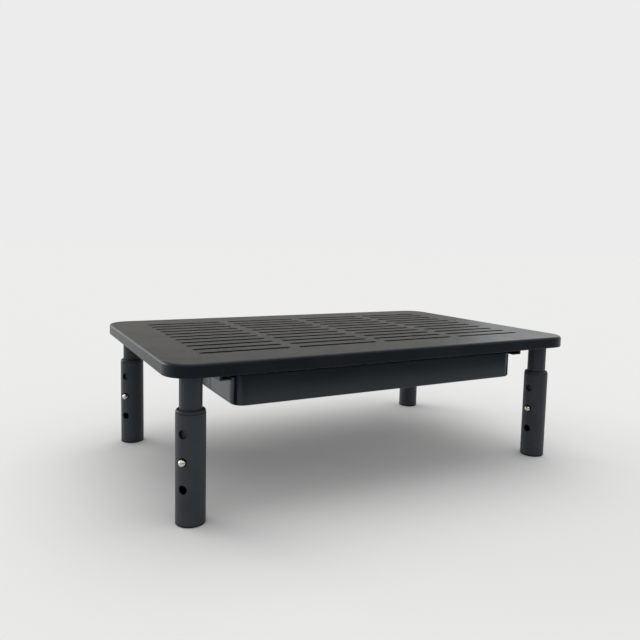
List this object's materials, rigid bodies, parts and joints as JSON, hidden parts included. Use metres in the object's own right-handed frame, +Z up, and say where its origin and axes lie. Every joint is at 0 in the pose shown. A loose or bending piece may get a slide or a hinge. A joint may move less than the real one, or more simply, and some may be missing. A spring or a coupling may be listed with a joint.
{
  "type": "laptop stand with drawer",
  "caption": "Slotted sheet-metal platform on telescopic legs locked by spring buttons, with a shallow drawer hung below on rails.",
  "frame": {"origin": "on the ground under the middle of the platform", "axes": "+X to the right as seen from the drawer's front, +Y to the back, +Z up"},
  "size_m": [0.37, 0.235, 0.114],
  "materials": {
    "powder_coat": "satin black powder coat on sheet steel",
    "leg_coat": "matt fine-textured black powder coat on steel tube",
    "drawer_plastic": "smooth satin black moulded plastic",
    "rail_plastic": "matt black moulded plastic",
    "fitting_plastic": "matt black moulded plastic",
    "rubber": "matt black rubber",
    "nickel": "bright nickel plate",
    "zinc_plate": "zinc-plated steel",
    "spring_steel": "oiled spring steel"
  },
  "bodies": {
    "stand_frame": {"platform": "powder_coat", "left_rail": "rail_plastic", "right_rail": "rail_plastic", "leg_weld_nuts": "zinc_plate", "leg_bolts": "zinc_plate", "rail_weld_nuts": "zinc_plate", "rail_screws": "zinc_plate", "front_left_inner_tube": "leg_coat", "front_left_lower_guide": "fitting_plastic", "front_left_top_plug": "fitting_plastic", "front_left_leaf_spring": "spring_steel", "front_right_inner_tube": "leg_coat", "front_right_lower_guide": "fitting_plastic", "front_right_top_plug": "fitting_plastic", "front_right_leaf_spring": "spring_steel", "back_left_inner_tube": "leg_coat", "back_left_lower_guide": "fitting_plastic", "back_left_top_plug": "fitting_plastic", "back_left_leaf_spring": "spring_steel", "back_right_inner_tube": "leg_coat", "back_right_lower_guide": "fitting_plastic", "back_right_top_plug": "fitting_plastic", "back_right_leaf_spring": "spring_steel"},
    "drawer": {"drawer_tray": "drawer_plastic"},
    "front_left_leg": {"front_left_outer_tube": "leg_coat", "front_left_collar": "fitting_plastic", "front_left_foot": "rubber"},
    "front_left_button": {"front_left_snap_button": "nickel"},
    "front_right_leg": {"front_right_outer_tube": "leg_coat", "front_right_collar": "fitting_plastic", "front_right_foot": "rubber"},
    "front_right_button": {"front_right_snap_button": "nickel"},
    "back_left_leg": {"back_left_outer_tube": "leg_coat", "back_left_collar": "fitting_plastic", "back_left_foot": "rubber"},
    "back_left_button": {"back_left_snap_button": "nickel"},
    "back_right_leg": {"back_right_outer_tube": "leg_coat", "back_right_collar": "fitting_plastic", "back_right_foot": "rubber"},
    "back_right_button": {"back_right_snap_button": "nickel"}
  },
  "joints": [
    {"name": "drawer_slide", "type": "slide", "parent": "stand_frame", "child": "drawer", "axis": [0, -1, 0], "range_m": [0, 0.15]},
    {"name": "front_left_leg_slide", "type": "slide", "parent": "stand_frame", "child": "front_left_leg", "axis": [0, 0, 1], "range_m": [-0.019, 0.019], "deforming": ["front_left_snap_button"]},
    {"name": "front_left_button_press", "type": "slide", "parent": "stand_frame", "child": "front_left_button", "axis": [0.7431, 0.6691, 0], "range_m": [0, 0.0046], "stiffness_N_per_m": 1500, "springref_m": -0.002, "deforming": ["front_left_leaf_spring"]},
    {"name": "front_right_leg_slide", "type": "slide", "parent": "stand_frame", "child": "front_right_leg", "axis": [0, 0, 1], "range_m": [-0.019, 0.019], "deforming": ["front_right_snap_button"]},
    {"name": "front_right_button_press", "type": "slide", "parent": "stand_frame", "child": "front_right_button", "axis": [0.9848, 0.1736, 0], "range_m": [0, 0.0046], "stiffness_N_per_m": 1500, "springref_m": -0.002, "deforming": ["front_right_leaf_spring"]},
    {"name": "back_left_leg_slide", "type": "slide", "parent": "stand_frame", "child": "back_left_leg", "axis": [0, 0, 1], "range_m": [-0.019, 0.019], "deforming": ["back_left_snap_button"]},
    {"name": "back_left_button_press", "type": "slide", "parent": "stand_frame", "child": "back_left_button", "axis": [0.7431, 0.6691, 0], "range_m": [0, 0.0046], "stiffness_N_per_m": 1500, "springref_m": -0.002, "deforming": ["back_left_leaf_spring"]},
    {"name": "back_right_leg_slide", "type": "slide", "parent": "stand_frame", "child": "back_right_leg", "axis": [0, 0, 1], "range_m": [-0.019, 0.019], "deforming": ["back_right_snap_button"]},
    {"name": "back_right_button_press", "type": "slide", "parent": "stand_frame", "child": "back_right_button", "axis": [0.9848, 0.1736, 0], "range_m": [0, 0.0046], "stiffness_N_per_m": 1500, "springref_m": -0.002, "deforming": ["back_right_leaf_spring"]}
  ]
}
